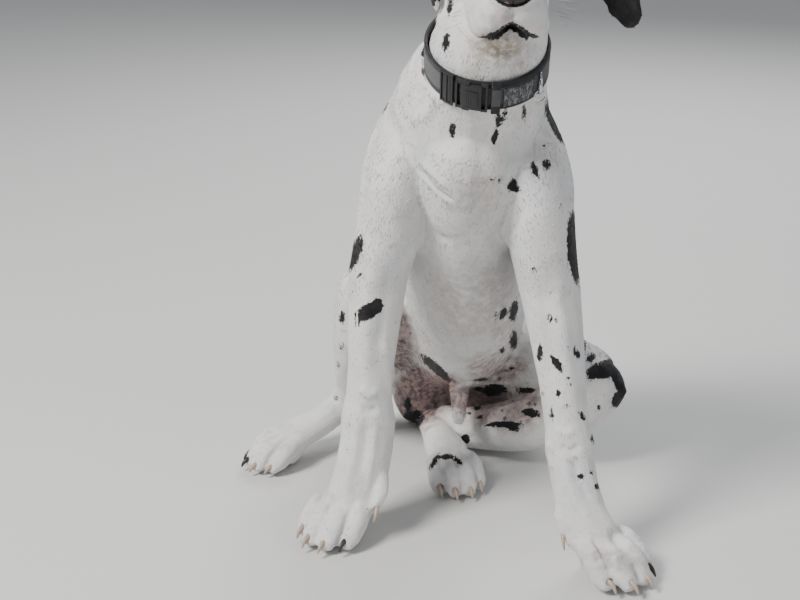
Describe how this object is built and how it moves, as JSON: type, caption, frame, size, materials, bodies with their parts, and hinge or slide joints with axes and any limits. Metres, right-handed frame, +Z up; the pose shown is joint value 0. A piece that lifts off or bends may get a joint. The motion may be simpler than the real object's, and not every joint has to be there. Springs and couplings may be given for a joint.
{
  "type": "great dane puppy",
  "caption": "Life-size still model of a harlequin great dane puppy sitting on the floor, with a wide webbing collar and its lead ring.",
  "frame": {"origin": "middle of the bounding box in plan, at the height of the floor the dog sits on", "axes": "-Y is where the dog faces, +X is its left side, +Z is up"},
  "size_m": [0.5554, 0.8578, 0.8274],
  "materials": {
    "coat": "short, close white coat with black patches",
    "ear_coat": "short, close black coat",
    "eye": "wet, polished dark eye",
    "nose_leather": "moist, finely grained black nose",
    "horn": "smooth light horn",
    "black_webbing": "flat woven black and grey webbing",
    "grey_patch": "grey reflective woven patch, bare",
    "plated_steel": "bright plated wire",
    "black_plastic": "moulded black plastic"
  },
  "bodies": {
    "root": {"belly": "coat", "chest": "coat", "claw_forepaw_left_1": "horn", "claw_forepaw_left_2": "horn", "claw_forepaw_left_3": "horn", "claw_forepaw_left_4": "horn", "claw_forepaw_right_1": "horn", "claw_forepaw_right_2": "horn", "claw_forepaw_right_3": "horn", "claw_forepaw_right_4": "horn", "claw_hind_foot_left_1": "horn", "claw_hind_foot_left_2": "horn", "claw_hind_foot_left_3": "horn", "claw_hind_foot_left_4": "horn", "claw_hind_foot_right_1": "horn", "claw_hind_foot_right_2": "horn", "claw_hind_foot_right_3": "horn", "claw_hind_foot_right_4": "horn", "collar_buckle": "black_plastic", "collar_keeper": "black_plastic", "collar_lead_ring": "plated_steel", "collar_patch": "grey_patch", "collar_slide": "black_plastic", "collar_strap": "black_webbing", "collar_tag_ring": "plated_steel", "dewclaw_left": "horn", "dewclaw_right": "horn", "ear_left": "ear_coat", "ear_right": "ear_coat", "eye_left": "eye", "eye_right": "eye", "foreleg_left": "coat", "foreleg_right": "coat", "forepaw_left": "coat", "forepaw_right": "coat", "head": "coat", "hind_foot_left": "coat", "hind_foot_right": "coat", "jaw": "coat", "neck": "coat", "nose": "nose_leather", "shank_left": "coat", "shank_right": "coat", "shoulder_left": "coat", "shoulder_right": "coat", "tail_root": "coat", "tail_tip": "coat", "thigh_left": "coat", "thigh_right": "coat"}
  },
  "joints": []
}
